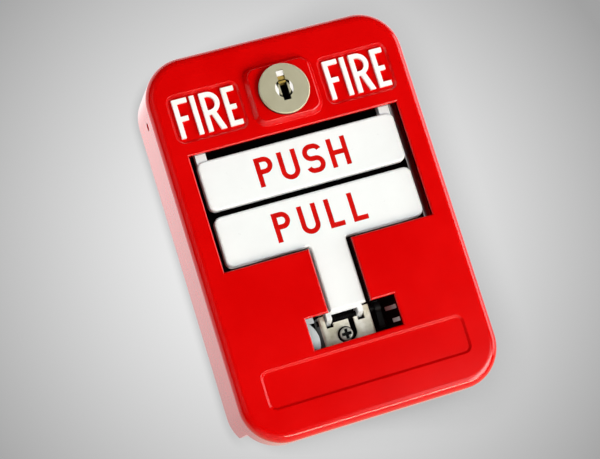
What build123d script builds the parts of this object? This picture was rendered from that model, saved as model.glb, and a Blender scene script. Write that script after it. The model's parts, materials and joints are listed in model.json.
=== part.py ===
from build123d import *
import math
import os

# Dual-action manual pull station. Millimetres. +Z is up, +X is right as seen from
# the front, and the front faces -Y. The origin is on the mounting face, midway between
# the two box screws.

# Cover shell
COVER_W = 84.3
COVER_Z = (-61.0, 62.6)
CORNER_R = 13.5
FRONT_Y = -27.5
BACK_EDGE_Y = -0.6
WALL = 2.4
FRONT_FILLET = 3.0
INNER_FILLET = 1.2
INNER_Y = FRONT_Y + WALL
RELIEF_Y = -14.9
RELIEF_Z = -54.6
SIDE_HOLE_R = 1.3
SIDE_HOLE_Y = -17.0
SIDE_HOLE_Z = 45.6

# Openings in the cover's front
WINDOW_HALF_W = 34.35
WINDOW_Z = (-6.2, 31.3)
SLOT_HALF_W = 6.95
LOWER_HALF_W = 14.6
LOWER_Z = (-36.65, -26.75)
WINDOW_EDGE_FILLET = 0.6

# Panels on the cover's front
PAD_W = 22.6
PAD_H = 19.6
PAD_PROUD = 2.0
PAD_R = 4.2
PAD_ROOT_INSET = 1.5
PAD_TAPER = 33.0
PAD_EDGE_FILLET = 0.5
LOCK_Z = 43.7
LEGEND_X = 24.75
LEGEND_Z = 43.2
LEGEND_PANEL = (23.4, 15.8)
LABEL_PANEL = (66.6, 12.4)
LABEL_Z = -44.6
PANEL_R = 2.6
PANEL_DEPTH = 0.7
PANEL_TAPER = 45.0

# Lettering
LEGEND_H = 12.5
LEGEND_STROKE = 1.45
LEGEND_PROUD = 0.3
WORD_H = 9.4
WORD_STROKE = 1.6
WORD_DEPTH = 0.4
WORD_FILL = 0.3

# Push flap and pull handle
BAR_HALF_W = 32.55
BAR_FRONT_Y = -25.3
BAR_THICK = 3.0
BAR_BACK_Y = BAR_FRONT_Y + BAR_THICK
BAR_CORNER_R = 2.3
BAR_EDGE_FILLET = 0.7
PUSH_Z = (13.0, 29.05)
PULL_Z = (-5.2, 11.0)
STEM_HALF_W = 5.9
STEM_END_Z = -26.5
STEM_ROOT_FILLET = 0.8
RUNNING = 0.05

FLAP_PIN_R = 1.0
FLAP_EAR_R = 2.0
FLAP_AXIS = (-22.4, 33.7)
FLAP_LUG_X = (28.7, 32.1)
FLAP_LUG_R = 2.2
LUG_OVERLAP = 3.0
LUG_BACK = 1.0
FLAP_EAR_X = (34.8, 37.8)
FLAP_SPRING_R = 1.9
SPRING_END_GAP = 0.4
SPRING_BORE_GAP = 0.1

HANDLE_PIN_R = 0.9
HANDLE_PIN_X = (-10.2, 10.3)
HANDLE_AXIS = (-19.6, -28.6)
FOOT_X = ((-7.4, -5.8), (2.9, 4.5))
FOOT_R = 1.6
FOOT_FRONT_Y = -24.2
FOOT_CORNER_Z = -28.8
YOKE_Y = (-24.2, -22.6)
YOKE_Z = (-27.3, -25.5)

# Handle bracket
WEB_X = (-9.6, 7.0)
WEB_Y = (-22.1, -20.9)
WEB_Z = (-36.2, -27.0)
SHEET = WEB_Y[1] - WEB_Y[0]
FLANGE_BACK_Y = -6.0
FLANGE_Z = (-42.0, -27.0)
SMALL_FLANGE_BACK_Y = -15.0
BEND_R = 0.9
LEG_X = ((-9.6, -3.6), (0.9, 7.0))
LEG_END_Z = -45.5
FOOT_STRIP_Z = -39.5
BRACKET_SCREW_X = (-6.6, 3.4)
BRACKET_SCREW_Z = -42.4
BRACKET_SCREW_R = 1.2
BRACKET_SCREW_HEAD = (2.1, 1.4)
BOSS_R = 2.6
BOSS_FLOOR = 0.2
OVERLAP = 0.5
NOTCH_GAP = 0.4
NOTCH_END_Z = -31.0
TONGUE_TOP_Z = -29.7
TONGUE_EDGE = 2.1
TONGUE_SLOT_W = 1.9
HOOK_CENTRE = (1.4, 0.55)
HOOK_R = 2.6
TONGUE_SCREW = (-2.65, -34.25)
TONGUE_HEAD_R = 2.1
TONGUE_HEAD_H = 1.4
RECESS_SIZE = (3.2, 1.05)
RECESS_DEPTH = 1.0
TONGUE_SHANK_R = 1.1
TONGUE_WASHER_R = 2.55
TONGUE_WASHER_T = 0.35
DETENT_BLOCK_Y = (-20.9, -16.6)
DETENT_BLOCK_SIZE = 4.6
TONGUE_SCREW_END_Y = -15.4
LEAF_CENTRE = (-19.3, -33.4)
LEAF_R = 7.7
LEAF_Y = (-25.1, -24.5)
LEAF_EAR_X = -11.8
LEAF_EAR_Z = (-28.4, -26.6)
LEAF_RIVET_R = 0.9
HANDLE_SPRING_R = 1.25
HANDLE_SPRING_X = (-4.8, 2.4)

# Switch
SWITCH_X = (7.1, 18.4)
SWITCH_CHAMFER = 0.5
SWITCH_Y = (-14.9, -5.6)
SWITCH_Z = (-43.0, -23.2)
SWITCH_SCREW_R = 1.1
SWITCH_SCREW_HEAD = (2.0, 1.3)
SWITCH_SCREW_END_X = 5.4
SWITCH_SCREW_Y = -9.2
SWITCH_SCREW_Z = (-39.5, -29.5)
CAM_LEVER_X = (9.0, 10.8)
CAM_LEVER_END_Z = -35.2
CAM_LEVER_HUB_R = 1.9
CAM_LEVER_W = 1.8
PLUNGER_R = 1.2
PLUNGER_EDGE_FILLET = 0.4
PLUNGER_X = 10.6
PLUNGER_Z = -33.8
PLUNGER_FRONT_Y = -18.4
PLUNGER_BACK_Y = -13.8
PLUNGER_BORE_END_Y = -10.4
TAB_T = 0.6
TABS = ((13.6, 17.0, -29.6), (15.0, 17.2, -33.7), (13.6, 17.0, -38.2))
TAB_W = 1.3
TAB_LIP = 1.4

# Lock
DISC_R = 8.1
DISC_CHAMFER = 0.35
DISC_FRONT_Y = -31.2
PAD_TOP_Y = FRONT_Y - PAD_PROUD
BARREL_R = 7.0
BARREL_BACK_Y = -14.6
PLUG_R = 2.9
PLUG_SET_BACK = 0.2
PLUG_CHAMFER = 0.9
PLUG_BACK_Y = -11.2
KEYWAY_W = 2.4
KEYWAY_Z = (-3.8, 5.9)
KEYWAY_BACK_Y = -25.8
LEVER_Z = (3.0, 4.1)
LEVER_Y = -30.5
LEVER_T = 1.0
LEVER_PITCH = 1.3
LEVER_COUNT = 3
WAFER_Z = (1.9, 2.6)
GUIDE_Z = (4.2, 5.8)
GUIDE_Y = (-30.9, -27.9)
NUT_FLATS = 18.0
NUT_Y = (-24.4, -21.4)
LOCK_WASHER_R = 9.4
CAM_Y = (-14.2, -12.6)
CAM_REACH = 12.7
CAM_W = 9.0
SQUARE_HALF = 2.0
CAM_SCREW_R = 1.0
CAM_SCREW_HEAD = (3.2, 1.6)
CAM_SCREW_END_Y = -15.9

# Back plate and cover hinge
PLATE_HALF_W = 39.3
PLATE_Z = (-57.4, 59.7)
PLATE_T = 2.0
PLATE_R = 10.7
PLATE_LOWER_R = 16.0
HINGE_AXIS = (-8.0, -55.0)
HINGE_PIN_R = 1.5
HINGE_EAR_X = (26.0, 28.0)
HINGE_EAR_R = 2.4
CLIP_R = 2.9
CLIP_X = (33.0, 33.8)
CLIP_MOUTH = 1.8
KNUCKLE_X = (28.5, 32.0)
KNUCKLE_R = 2.4
HINGE_PIN_END_X = 34.6
KEEPER_HALF_W = 11.5
KEEPER_FRONT_Y = -17.0
KEEPER_TOP_Z = 57.4
RIVET_X = 8.0
RIVET_Z = 51.5
RIVET_R = 1.5
RIVET_HEAD_R = 2.5
RIVET_HEAD_T = 1.1
KEEPER_SHEET = 1.4
KEEPER_FOOT = (-3.4, 48.6)
KEEPER_WINDOW_HALF_W = 7.0
KEEPER_WINDOW_Z = (50.0, 57.0)
BOX_SCREW_Z = 41.65
BOX_SCREW_R = 2.1
WIRE_HOLE = (20.0, 24.0)
WIRE_HOLE_R = 3.0
WIRE_HOLE_X = 26.0
WIRE_HOLE_Z = -20.5

# Terminal block and earth screw
TERMINAL_COUNT = 4
TERMINAL_PITCH = 6.4
BLOCK_HALF_W = 17.0
BLOCK_CHAMFER = 0.6
BLOCK_SCREW_INSET = 2.2
BLOCK_SCREW_R = 1.25
BLOCK_SCREW_HEAD = (-10.6, 1.9, 1.7)
BLOCK_COUNTERBORE_R = 1.95
BAY_HALF_W = 2.9
BAY_END_WALL = 1.6
BAY_FLOOR_Y = -7.5
TERMINAL_SCREW_R = 1.3
TERMINAL_SCREW_HEAD = (-10.3, 2.3, 2.0)
TERMINAL_SCREW_END_Y = -4.2
TERMINAL_BORE_END_Y = -4.0
CLAMP_HALF_W = 2.7
CLAMP_HALF_H = 4.6
CLAMP_SHEET = 0.8
BLOCK_Y = (-11.5, -2.5)
BLOCK_Z = (1.0, 14.0)
CARD_Y = (-2.5, -2.0)
CARD_SIZE = (44.0, 24.0)
CARD_R = 1.5
EARTH_X = -25.0
EARTH_Z = -41.0
EARTH_SCREW_R = 1.7
EARTH_SCREW_HEAD = (-5.6, 3.4, 2.4)
EARTH_WASHER_R = 4.4
EARTH_WASHER_T = 1.2
THROUGH = (-40.0, 10.0)
DRIVE_SLOT = 0.8


def block(x, y, z):
    """A box between the pairs of limits x, y and z."""
    middle = [(low + high) / 2 for low, high in (x, y, z)]
    return Pos(*middle) * Box(x[1] - x[0], y[1] - y[0], z[1] - z[0])


def rod_x(radius, x, y, z):
    """A round bar along X between the pair of limits x."""
    return Pos((x[0] + x[1]) / 2, y, z) * Rot(0, 90, 0) * Cylinder(radius, x[1] - x[0])


def rod_y(radius, x, y, z):
    """A round bar along Y between the pair of limits y."""
    return Pos(x, (y[0] + y[1]) / 2, z) * Rot(90, 0, 0) * Cylinder(radius, y[1] - y[0])


def prism_y(sketch, y):
    """The XZ outline sketch, as a solid between the pair of limits y."""
    return Pos(0, y[1], 0) * extrude(Plane.XZ * sketch, amount=y[1] - y[0])


def plate_y(width, height, radius, y, x_centre=0.0, z_centre=0.0):
    """A plate with rounded corners, across the Y axis."""
    return prism_y(Pos(x_centre, z_centre) * RectangleRounded(width, height, radius), y)


def prism_x(sketch, x):
    """The YZ outline sketch, as a solid between the pair of limits x."""
    return Pos(x[0], 0, 0) * extrude(Plane.YZ * sketch, amount=x[1] - x[0])


def mirrored(shape):
    """The shape and its copy on the other side of the middle plane."""
    return [shape, mirror(shape, Plane.YZ)]


def front_edges(shape):
    """The edges of the shape's foremost flat face."""
    return shape.faces().sort_by(Axis.Y)[0].edges()


def bevelled_panel(size, x_centre, z_centre):
    """The material that a shallow recess with sloping sides takes out of the front."""
    front = Plane(origin=(x_centre, FRONT_Y, z_centre), x_dir=(1, 0, 0), z_dir=(0, 1, 0))
    outline = front * RectangleRounded(*size, PANEL_R)
    return extrude(outline, amount=PANEL_DEPTH, taper=PANEL_TAPER)


# Letters are drawn in a box one letter high, from the point (0, 0) at the lower left.

def bar(x0, z0, x1, z1):
    """A filled rectangle between two corners."""
    return Pos((x0 + x1) / 2, (z0 + z1) / 2) * Rectangle(x1 - x0, z1 - z0)


def bowl(x0, x1, z0, z1, stroke):
    """A letter's bowl: two arms joined by a half ring that bulges to the right."""
    radius = (z1 - z0) / 2
    turn = x1 - radius
    ring = (Circle(radius) - Circle(radius - stroke)) & bar(0, -radius, radius, radius)
    shape = Pos(turn, (z0 + z1) / 2) * ring
    shape += bar(x0, z0, turn, z0 + stroke)
    return shape + bar(x0, z1 - stroke, turn, z1)


def arc_stroke(cx, cz, radius, start, sweep, stroke):
    """A bent stroke: part of a ring about (cx, cz), angles in degrees."""
    ring = Circle(radius + stroke / 2) - Circle(radius - stroke / 2)
    reach = radius * 3
    points = [(0, 0)]
    steps = 8
    for step in range(steps + 1):
        angle = math.radians(start + sweep * step / steps)
        points.append((reach * math.cos(angle), reach * math.sin(angle)))
    wedge = make_face(Polyline(*points, close=True))
    return Pos(cx, cz) * (ring & wedge)


def letter_f(height, stroke, width):
    shape = bar(0, 0, stroke, height) + bar(0, height - stroke, width, height)
    return shape + bar(0, height * 0.43, width * 0.8, height * 0.43 + stroke)


def letter_i(height, stroke, width):
    return bar(0, 0, width, height)


def letter_r(height, stroke, width):
    waist = height * 0.42
    shape = bar(0, 0, stroke, height) + bowl(0, width, waist, height, stroke)
    foot = Polyline(
        (width - stroke * 1.15, 0),
        (width + 0.05, 0),
        (width * 0.62 + 0.2, waist + stroke * 0.6),
        (width * 0.36, waist + stroke * 0.6),
        close=True,
    )
    return shape + make_face(foot)


def letter_e(height, stroke, width):
    shape = bar(0, 0, stroke, height) + bar(0, height - stroke, width * 0.97, height)
    shape += bar(0, height * 0.42, width * 0.84, height * 0.42 + stroke)
    return shape + bar(0, 0, width, stroke)


def letter_p(height, stroke, width):
    return bar(0, 0, stroke, height) + bowl(0, width, height * 0.42, height, stroke)


def letter_u(height, stroke, width):
    radius = width / 2
    ring = Circle(radius) - Circle(radius - stroke)
    shape = Pos(radius, radius) * (ring & bar(-radius, -radius, radius, 0))
    shape += bar(0, radius, stroke, height)
    return shape + bar(width - stroke, radius, width, height)


def letter_s(height, stroke, width):
    radius = (height - stroke) / 4
    middle = width / 2
    stretch = (width - stroke) / 2 - radius
    upper = height - stroke / 2 - radius
    lower = stroke / 2 + radius
    shape = arc_stroke(middle - stretch, upper, radius, 90, 180, stroke)
    shape += arc_stroke(middle + stretch, upper, radius, 20, 70, stroke)
    shape += arc_stroke(middle + stretch, lower, radius, -90, 180, stroke)
    shape += arc_stroke(middle - stretch, lower, radius, 200, 70, stroke)
    for level in (upper + radius, height / 2, lower - radius):
        shape += bar(middle - stretch, level - stroke / 2, middle + stretch, level + stroke / 2)
    return shape


def letter_h(height, stroke, width):
    shape = bar(0, 0, stroke, height) + bar(width - stroke, 0, width, height)
    return shape + bar(0, (height - stroke) / 2, width, (height + stroke) / 2)


def letter_l(height, stroke, width):
    return bar(0, 0, stroke, height) + bar(0, 0, width, stroke)


def word(letters, gaps, height, stroke, z_centre):
    """Letters side by side, each a (drawing, width) pair, centred on x = 0."""
    total = sum(width for _, width in letters) + sum(gaps)
    left = -total / 2
    placed = []
    for (draw, width), gap in zip(letters, (*gaps, 0)):
        placed.append(Pos(left, z_centre - height / 2) * draw(height, stroke, width))
        left += width + gap
    return placed


def fire_word():
    letters = [(letter_f, 4.75), (letter_i, LEGEND_STROKE), (letter_r, 5.75), (letter_e, 4.1)]
    return word(letters, (1.0, 1.6, 1.4), LEGEND_H, LEGEND_STROKE, LEGEND_Z)


def push_word():
    letters = [(letter_p, 5.6), (letter_u, 6.1), (letter_s, 6.4), (letter_h, 6.2)]
    return word(letters, (1.95,) * 3, WORD_H, WORD_STROKE, sum(PUSH_Z) / 2)


def pull_word():
    letters = [(letter_p, 5.6), (letter_u, 6.1), (letter_l, 4.9), (letter_l, 4.9)]
    return word(letters, (2.8,) * 3, WORD_H, WORD_STROKE, sum(PULL_Z) / 2)


# Parts that stay on the wall

def back_plate():
    """The plate; its lower corners are rounder, to clear the cover as it swings open."""
    height = PLATE_Z[1] - PLATE_Z[0]
    middle = sum(PLATE_Z) / 2
    width = 2 * PLATE_HALF_W
    plate = plate_y(width, height, PLATE_R, (-PLATE_T, 0), 0, middle)
    plate &= plate_y(width, height + 2 * PLATE_LOWER_R, PLATE_LOWER_R, (-PLATE_T, 0), 0,
                     middle + PLATE_LOWER_R)
    for x in (-WIRE_HOLE_X, WIRE_HOLE_X):
        plate -= plate_y(*WIRE_HOLE, WIRE_HOLE_R, THROUGH, x, WIRE_HOLE_Z)
    for z in (-BOX_SCREW_Z, BOX_SCREW_Z):
        plate -= rod_y(BOX_SCREW_R, 0, THROUGH, z)
    y, z = HINGE_AXIS
    ear_profile = bar(y, z - HINGE_EAR_R, -PLATE_T / 2, z + HINGE_EAR_R)
    ear_profile += Pos(y, z) * Circle(HINGE_EAR_R)
    for ear in mirrored(prism_x(ear_profile, HINGE_EAR_X)):
        plate += ear
    plate -= rod_x(HINGE_PIN_R, (-PLATE_HALF_W, PLATE_HALF_W), y, z)
    for x in block_screw_positions():
        plate -= rod_y(BLOCK_SCREW_R, x, THROUGH, sum(BLOCK_Z) / 2)
    plate -= rod_y(EARTH_SCREW_R, EARTH_X, THROUGH, EARTH_Z)
    for x in (-RIVET_X, RIVET_X):
        plate -= rod_y(RIVET_R, x, THROUGH, RIVET_Z)
    return plate


def hinge_pin():
    return rod_x(HINGE_PIN_R, (-HINGE_PIN_END_X, HINGE_PIN_END_X), *HINGE_AXIS)


def hinge_clips():
    """A retaining ring near each end of the hinge pin, outside the cover's knuckles."""
    y, z = HINGE_AXIS
    ring = rod_x(CLIP_R, CLIP_X, y, z) - rod_x(HINGE_PIN_R, CLIP_X, y, z)
    mouth = (y - CLIP_MOUTH / 2, y + CLIP_MOUTH / 2)
    return mirrored(ring - block(CLIP_X, mouth, (z - 2 * CLIP_R, z)))


def block_screw_positions():
    reach = BLOCK_HALF_W - BLOCK_SCREW_INSET
    return (-reach, reach)


def terminal_positions():
    first = -TERMINAL_PITCH * (TERMINAL_COUNT - 1) / 2
    return [first + TERMINAL_PITCH * index for index in range(TERMINAL_COUNT)]


def insulating_card():
    middle = sum(BLOCK_Z) / 2
    card = plate_y(*CARD_SIZE, CARD_R, CARD_Y, 0, middle)
    for x in block_screw_positions():
        card -= rod_y(BLOCK_SCREW_R, x, CARD_Y, middle)
    return card


def terminal_block():
    """Plastic block with an open bay for each terminal and a counterbored screw hole at each end."""
    front = BLOCK_Y[0]
    body = block((-BLOCK_HALF_W, BLOCK_HALF_W), BLOCK_Y, BLOCK_Z)
    body = chamfer(front_edges(body), BLOCK_CHAMFER)
    middle = sum(BLOCK_Z) / 2
    bay_z = (BLOCK_Z[0] + BAY_END_WALL, BLOCK_Z[1] - BAY_END_WALL)
    for x in terminal_positions():
        body -= block((x - BAY_HALF_W, x + BAY_HALF_W), (front - 1, BAY_FLOOR_Y), bay_z)
        body -= rod_y(TERMINAL_SCREW_R, x, (front, TERMINAL_BORE_END_Y), middle)
    counterbore = (front - 1, sum(BLOCK_SCREW_HEAD[::2]))
    for x in block_screw_positions():
        body -= rod_y(BLOCK_SCREW_R, x, THROUGH, middle)
        body -= rod_y(BLOCK_COUNTERBORE_R, x, counterbore, middle)
    return body


def terminal_clamps():
    """A plate with turned-up edges under each terminal screw."""
    middle = sum(BLOCK_Z) / 2
    front = BAY_FLOOR_Y - CLAMP_SHEET
    clamps = []
    for x in terminal_positions():
        width = (x - CLAMP_HALF_W, x + CLAMP_HALF_W)
        clamp = block(width, (front, BAY_FLOOR_Y), (middle - CLAMP_HALF_H, middle + CLAMP_HALF_H))
        for side in (-1, 1):
            edge = sorted(middle + side * reach for reach in (CLAMP_HALF_H - CLAMP_SHEET, CLAMP_HALF_H))
            clamp += block(width, (front - CLAMP_SHEET, front), edge)
        clamps.append(clamp - rod_y(TERMINAL_SCREW_R, x, THROUGH, middle))
    return clamps


def slotted_screw(x, z, head, shank_r, end_y):
    """A round-headed screw along Y with a straight slot; head is its front, radius and thickness."""
    head_y, head_r, head_t = head
    screw = fillet(front_edges(rod_y(head_r, x, (head_y, head_y + head_t), z)), head_t * 0.4)
    screw += rod_y(shank_r, x, (head_y + head_t, end_y), z)
    slot_y = (head_y - 1, head_y + head_t / 2)
    return screw - block((x - head_r, x + head_r), slot_y, (z - DRIVE_SLOT / 2, z + DRIVE_SLOT / 2))


def terminal_screws():
    middle = sum(BLOCK_Z) / 2
    return [
        slotted_screw(x, middle, TERMINAL_SCREW_HEAD, TERMINAL_SCREW_R, TERMINAL_SCREW_END_Y)
        for x in terminal_positions()
    ]


def block_screws():
    middle = sum(BLOCK_Z) / 2
    return [
        slotted_screw(x, middle, BLOCK_SCREW_HEAD, BLOCK_SCREW_R, 0.0)
        for x in block_screw_positions()
    ]


def earth_screw():
    return slotted_screw(EARTH_X, EARTH_Z, EARTH_SCREW_HEAD, EARTH_SCREW_R, 0.0)


def earth_washer():
    cup = rod_y(EARTH_WASHER_R, EARTH_X, (-PLATE_T - EARTH_WASHER_T, -PLATE_T), EARTH_Z)
    cup = chamfer(front_edges(cup), EARTH_WASHER_T * 0.4)
    return cup - rod_y(EARTH_SCREW_R, EARTH_X, THROUGH, EARTH_Z)


def latch_keeper():
    """Bent strip whose lip stands in front of the lock cam's tip."""
    width = (-KEEPER_HALF_W, KEEPER_HALF_W)
    foot_y, foot_z = KEEPER_FOOT
    keeper = block(width, (foot_y, -PLATE_T), (foot_z, KEEPER_TOP_Z))
    keeper += block(width, (KEEPER_FRONT_Y, -PLATE_T), (KEEPER_TOP_Z - KEEPER_SHEET, KEEPER_TOP_Z))
    window = (-KEEPER_WINDOW_HALF_W, KEEPER_WINDOW_HALF_W)
    keeper -= block(window, (KEEPER_FRONT_Y - 1, foot_y), KEEPER_WINDOW_Z)
    for x in (-RIVET_X, RIVET_X):
        keeper -= rod_y(RIVET_R, x, THROUGH, RIVET_Z)
    return keeper


def keeper_rivets():
    under_y = KEEPER_FOOT[0]
    rivets = []
    for x in (-RIVET_X, RIVET_X):
        head = rod_y(RIVET_HEAD_R, x, (under_y - RIVET_HEAD_T, under_y), RIVET_Z)
        head = fillet(front_edges(head), RIVET_HEAD_T / 2)
        rivets.append(head + rod_y(RIVET_R, x, (under_y, 0.0), RIVET_Z))
    return rivets


# Parts that swing with the cover

def cover_openings():
    """The T-shaped window for the bars and stem, with the small window under it."""
    depth = (FRONT_Y - 1, INNER_Y + 1)
    opening = block((-WINDOW_HALF_W, WINDOW_HALF_W), depth, WINDOW_Z)
    opening += block((-SLOT_HALF_W, SLOT_HALF_W), depth, (LOWER_Z[1] - 1, WINDOW_Z[0] + 1))
    return opening + block((-LOWER_HALF_W, LOWER_HALF_W), depth, LOWER_Z)


def lock_pad():
    front = Plane(origin=(0, FRONT_Y, LOCK_Z), x_dir=(1, 0, 0), z_dir=(0, -1, 0))
    pad = extrude(front * RectangleRounded(PAD_W, PAD_H, PAD_R), amount=PAD_PROUD, taper=PAD_TAPER)
    pad = fillet(front_edges(pad), PAD_EDGE_FILLET)
    root = (PAD_W - 2 * PAD_ROOT_INSET, PAD_H - 2 * PAD_ROOT_INSET, PAD_R - PAD_ROOT_INSET)
    return pad + plate_y(*root, (FRONT_Y, FRONT_Y + 1), 0, LOCK_Z)


def hinge_knuckle():
    """Rib from the front wall back to the cover hinge pin, right side."""
    y, z = HINGE_AXIS
    top = z + KNUCKLE_R
    profile = bar(INNER_Y - OVERLAP, z - KNUCKLE_R, y, top) + Pos(y, z) * Circle(KNUCKLE_R)
    return prism_x(profile, KNUCKLE_X)


def flap_ear():
    """Block behind the front wall that holds the flap's pivot pin, right side."""
    y, z = FLAP_AXIS
    profile = bar(INNER_Y - OVERLAP, z - FLAP_EAR_R, y, z + FLAP_EAR_R)
    profile += Pos(y, z) * Circle(FLAP_EAR_R)
    return prism_x(profile, FLAP_EAR_X) - rod_x(FLAP_PIN_R, FLAP_EAR_X, y, z)


def front_cover():
    height = COVER_Z[1] - COVER_Z[0]
    middle = sum(COVER_Z) / 2
    shell = plate_y(COVER_W, height, CORNER_R, (FRONT_Y, BACK_EDGE_Y), 0, middle)
    shell = fillet(front_edges(shell), FRONT_FILLET)
    inner_size = (COVER_W - 2 * WALL, height - 2 * WALL, CORNER_R - WALL)
    cavity = plate_y(*inner_size, (INNER_Y, BACK_EDGE_Y + 1), 0, middle)
    shell -= fillet(front_edges(cavity), INNER_FILLET)
    shell -= cover_openings()
    front_face = shell.faces().sort_by(Axis.Y)[0]
    rims = [edge for wire in front_face.inner_wires() for edge in wire.edges()]
    shell = fillet(rims, WINDOW_EDGE_FILLET)
    for x in (-LEGEND_X, LEGEND_X):
        shell -= bevelled_panel(LEGEND_PANEL, x, LEGEND_Z)
    shell -= bevelled_panel(LABEL_PANEL, 0, LABEL_Z)
    shell -= block((-COVER_W, COVER_W), (RELIEF_Y, 1), (COVER_Z[0] - 1, RELIEF_Z))
    shell += lock_pad()
    for part in mirrored(hinge_knuckle()) + mirrored(flap_ear()):
        shell += part
    for x in BRACKET_SCREW_X:
        shell += rod_y(BOSS_R, x, (INNER_Y - OVERLAP, WEB_Y[0]), BRACKET_SCREW_Z)
        shell -= rod_y(BRACKET_SCREW_R, x, (INNER_Y + BOSS_FLOOR, 0), BRACKET_SCREW_Z)
    shell -= rod_x(HINGE_PIN_R + RUNNING, (-36, 36), *HINGE_AXIS)
    shell -= rod_y(BARREL_R, 0, (FRONT_Y - 5, 0), LOCK_Z)
    shell -= rod_x(SIDE_HOLE_R, (-COVER_W, -30), SIDE_HOLE_Y, SIDE_HOLE_Z)
    return shell


def fire_legend(x_centre):
    """Raised letters standing on the floor of a legend panel."""
    floor_y = FRONT_Y + PANEL_DEPTH
    top_y = FRONT_Y - LEGEND_PROUD
    return [prism_y(Pos(x_centre, 0) * letter, (top_y, floor_y)) for letter in fire_word()]


def keyway(y):
    """The upright key slot, between the pair of limits y."""
    low, high = KEYWAY_Z
    slot = bar(-KEYWAY_W / 2, LOCK_Z + low, KEYWAY_W / 2, LOCK_Z + high)
    return prism_y(slot, y)


def lock_housing():
    disc = rod_y(DISC_R, 0, (DISC_FRONT_Y, PAD_TOP_Y), LOCK_Z)
    disc = chamfer(front_edges(disc), DISC_CHAMFER)
    housing = disc + rod_y(BARREL_R, 0, (PAD_TOP_Y, BARREL_BACK_Y), LOCK_Z)
    housing -= keyway((DISC_FRONT_Y - 1, KEYWAY_BACK_Y))
    return housing - rod_y(PLUG_R + RUNNING, 0, (DISC_FRONT_Y - 1, 0), LOCK_Z)


def slot_piece(y, height):
    """A block that fills the key slot's width, at heights above the lock's centre."""
    return block((-KEYWAY_W / 2, KEYWAY_W / 2), y, (LOCK_Z + height[0], LOCK_Z + height[1]))


def lever_y(layer):
    front = LEVER_Y + layer * LEVER_PITCH
    return (front, front + LEVER_T)


def lock_levers():
    """Brass levers across the key slot, just outside the plug."""
    return [slot_piece(lever_y(layer), LEVER_Z) for layer in range(LEVER_COUNT)]


def lock_guide():
    """Bright guide plate that closes the upper end of the key slot."""
    return slot_piece(GUIDE_Y, GUIDE_Z)


def lock_washer():
    ring = rod_y(LOCK_WASHER_R, 0, (INNER_Y, NUT_Y[0]), LOCK_Z)
    return ring - rod_y(BARREL_R, 0, THROUGH, LOCK_Z)


def lock_nut():
    outline = Pos(0, LOCK_Z) * RegularPolygon(NUT_FLATS / 2, 6, major_radius=False, rotation=30)
    nut = prism_y(outline, NUT_Y)
    return nut - rod_y(BARREL_R, 0, THROUGH, LOCK_Z)


def tongue_slot():
    """The J-shaped cut beside the bracket's tongue, as an outline."""
    cx, cz = TONGUE_SCREW
    hook_x, hook_z = cx + HOOK_CENTRE[0], cz + HOOK_CENTRE[1]
    inner, outer = cx + TONGUE_EDGE, hook_x + HOOK_R
    leg = bar(inner, hook_z, outer, TONGUE_TOP_Z + OVERLAP)
    middle = HOOK_R - TONGUE_SLOT_W / 2
    return leg + arc_stroke(hook_x, hook_z, middle, -85, 86, TONGUE_SLOT_W)


def foot_clearance():
    """What the bracket's web leaves out so that the handle's yoke and feet can swing."""
    left = FOOT_X[0][0] - NOTCH_GAP
    right = FOOT_X[1][1] + NOTCH_GAP
    gap = bar(left, TONGUE_TOP_Z, right, WEB_Z[1] + 1)
    for low, high in FOOT_X:
        gap += bar(low - NOTCH_GAP, NOTCH_END_Z, high + NOTCH_GAP, TONGUE_TOP_Z)
    return gap


def handle_bracket():
    """Bent sheet: a web behind the lower window, two legs and two side flanges."""
    left, right = WEB_X
    outline = bar(left, WEB_Z[0], right, WEB_Z[1]) - tongue_slot() - foot_clearance()
    for low, high in LEG_X:
        outline += bar(low, LEG_END_Z, high, WEB_Z[0] + OVERLAP)
    outline += bar(left, LEG_END_Z, right, FOOT_STRIP_Z)
    bracket = prism_y(outline, WEB_Y)
    bracket += block((right - SHEET, right), (WEB_Y[0], FLANGE_BACK_Y), FLANGE_Z)
    bracket += block((left, left + SHEET), (WEB_Y[0], SMALL_FLANGE_BACK_Y), WEB_Z)
    upright = bracket.edges().filter_by(Axis.Z).group_by(Axis.Y)[0]
    bends = [edge for edge in upright if min(abs(edge.center().X - x) for x in WEB_X) < 0.01]
    bracket = fillet(bends, BEND_R)
    bracket -= rod_x(HANDLE_PIN_R + RUNNING, (left - 1, right + 1), *HANDLE_AXIS)
    bracket -= rod_y(TONGUE_SHANK_R, TONGUE_SCREW[0], WEB_Y, TONGUE_SCREW[1])
    for x in BRACKET_SCREW_X:
        bracket -= rod_y(BRACKET_SCREW_R, x, WEB_Y, BRACKET_SCREW_Z)
    for z in SWITCH_SCREW_Z:
        bracket -= rod_x(SWITCH_SCREW_R, (right - 2, right + 1), SWITCH_SCREW_Y, z)
    return bracket


def cross_recess(x, z, y_front):
    """The material that a cross-point driver recess takes out of a screw head."""
    length, width = RECESS_SIZE
    depth = (y_front - 1, y_front + RECESS_DEPTH)
    wide = block((x - length / 2, x + length / 2), depth, (z - width / 2, z + width / 2))
    tall = block((x - width / 2, x + width / 2), depth, (z - length / 2, z + length / 2))
    return wide + tall


def tongue_screw():
    """Pan-head cross-point screw through the bracket's tongue."""
    x, z = TONGUE_SCREW
    under_y = WEB_Y[0] - TONGUE_WASHER_T
    head_y = under_y - TONGUE_HEAD_H
    head = rod_y(TONGUE_HEAD_R, x, (head_y, under_y), z)
    head = fillet(front_edges(head), TONGUE_HEAD_R / 3)
    head -= cross_recess(x, z, head_y)
    return head + rod_y(TONGUE_SHANK_R, x, (under_y, TONGUE_SCREW_END_Y), z)


def tongue_washer():
    x, z = TONGUE_SCREW
    ring = rod_y(TONGUE_WASHER_R, x, (WEB_Y[0] - TONGUE_WASHER_T, WEB_Y[0]), z)
    return ring - rod_y(TONGUE_SHANK_R, x, THROUGH, z)


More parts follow.
